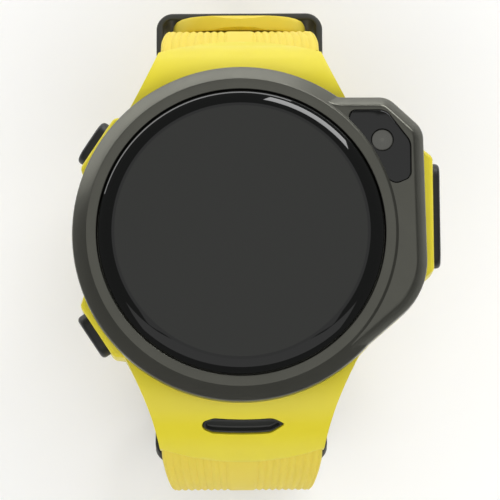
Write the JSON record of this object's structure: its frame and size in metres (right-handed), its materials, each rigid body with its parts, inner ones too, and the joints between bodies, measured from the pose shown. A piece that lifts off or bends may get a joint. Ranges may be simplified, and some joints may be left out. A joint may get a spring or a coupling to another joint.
{
  "type": "smart watch",
  "caption": "Round smart watch with a camera shoulder, side push buttons and a yellow silicone strap closed by a pin buckle and keeper.",
  "frame": {"origin": "on the flat back of the closed strap loop, straight under the middle of the display", "axes": "+Z out of the display, +Y towards 12 o'clock, +X towards 3 o'clock"},
  "size_m": [0.0476, 0.0659, 0.052],
  "materials": {
    "bezel_black": "satin moulded dark grey-black",
    "cover_glass": "polished, raised bevelled edge",
    "display_black": "display that is off, near black",
    "gloss_black": "polished black",
    "lens_grey": "coated camera lens",
    "case_yellow": "satin moulded yellow",
    "strap_yellow": "soft-touch yellow silicone",
    "button_black": "satin black",
    "keeper_black": "soft black silicone",
    "buckle_black": "satin black coating",
    "seal_rubber": "matt black",
    "board_green": "solder resist",
    "cell_silver": "foil pouch",
    "steel": "plain stainless",
    "contact_gold": "gold plated"
  },
  "bodies": {
    "watch": {"bezel": "bezel_black", "cover_glass": "cover_glass", "display_gasket": "seal_rubber", "display_panel": "display_black", "camera_window": "gloss_black", "camera_lens": "lens_grey", "camera_module": "gloss_black", "middle_case": "case_yellow", "speaker_outlet": "gloss_black", "main_board": "board_green", "battery": "cell_silver", "vibration_motor": "steel", "speaker": "bezel_black", "sim_holder": "steel", "microphone": "contact_gold", "back_cover": "bezel_black", "back_gasket": "seal_rubber", "sensor_window": "gloss_black", "charge_contact_left": "contact_gold", "charge_contact_right": "contact_gold", "back_screw_1": "steel", "back_screw_2": "steel", "back_screw_3": "steel", "back_screw_4": "steel", "lug_bar_upper": "steel", "lug_bar_lower": "steel", "strap_short": "strap_yellow", "strap_long": "strap_yellow", "buckle_pin": "steel", "button_seal_upper_left": "seal_rubber", "button_switch_upper_left": "steel", "button_seal_lower_left": "seal_rubber", "button_switch_lower_left": "steel", "button_seal_right": "seal_rubber", "button_switch_right": "steel"},
    "button_upper_left": {"button_upper_left": "button_black"},
    "button_lower_left": {"button_lower_left": "button_black"},
    "button_right": {"button_right": "button_black"},
    "buckle_frame": {"buckle_frame": "buckle_black"},
    "buckle_tongue": {"buckle_tongue": "buckle_black"},
    "keeper": {"keeper": "keeper_black"}
  },
  "joints": [
    {"name": "press_upper_left", "type": "slide", "parent": "watch", "child": "button_upper_left", "axis": [0.8339, -0.5519, 0], "range_m": [0, 0.0006], "stiffness_N_per_m": 800, "springref_m": -0.0005},
    {"name": "press_lower_left", "type": "slide", "parent": "watch", "child": "button_lower_left", "axis": [0.8339, 0.5519, 0], "range_m": [0, 0.0006], "stiffness_N_per_m": 800, "springref_m": -0.0005},
    {"name": "press_right", "type": "slide", "parent": "watch", "child": "button_right", "axis": [-1, 0, 0], "range_m": [0, 0.0006], "stiffness_N_per_m": 800, "springref_m": -0.0005},
    {"name": "buckle_swing", "type": "hinge", "parent": "watch", "child": "buckle_frame", "pos_m": [0, -0.01664, 0.00519], "axis": [1, 0, 0], "range_deg": [0, 4]},
    {"name": "tongue_swing", "type": "hinge", "parent": "buckle_frame", "child": "buckle_tongue", "pos_m": [0, -0.01664, 0.00519], "axis": [1, 0, 0], "range_deg": [0, 8]},
    {"name": "keeper_slide", "type": "hinge", "parent": "watch", "child": "keeper", "pos_m": [0, 0.0047, 0.027], "axis": [1, 0, 0], "range_deg": [-12, 5]}
  ]
}
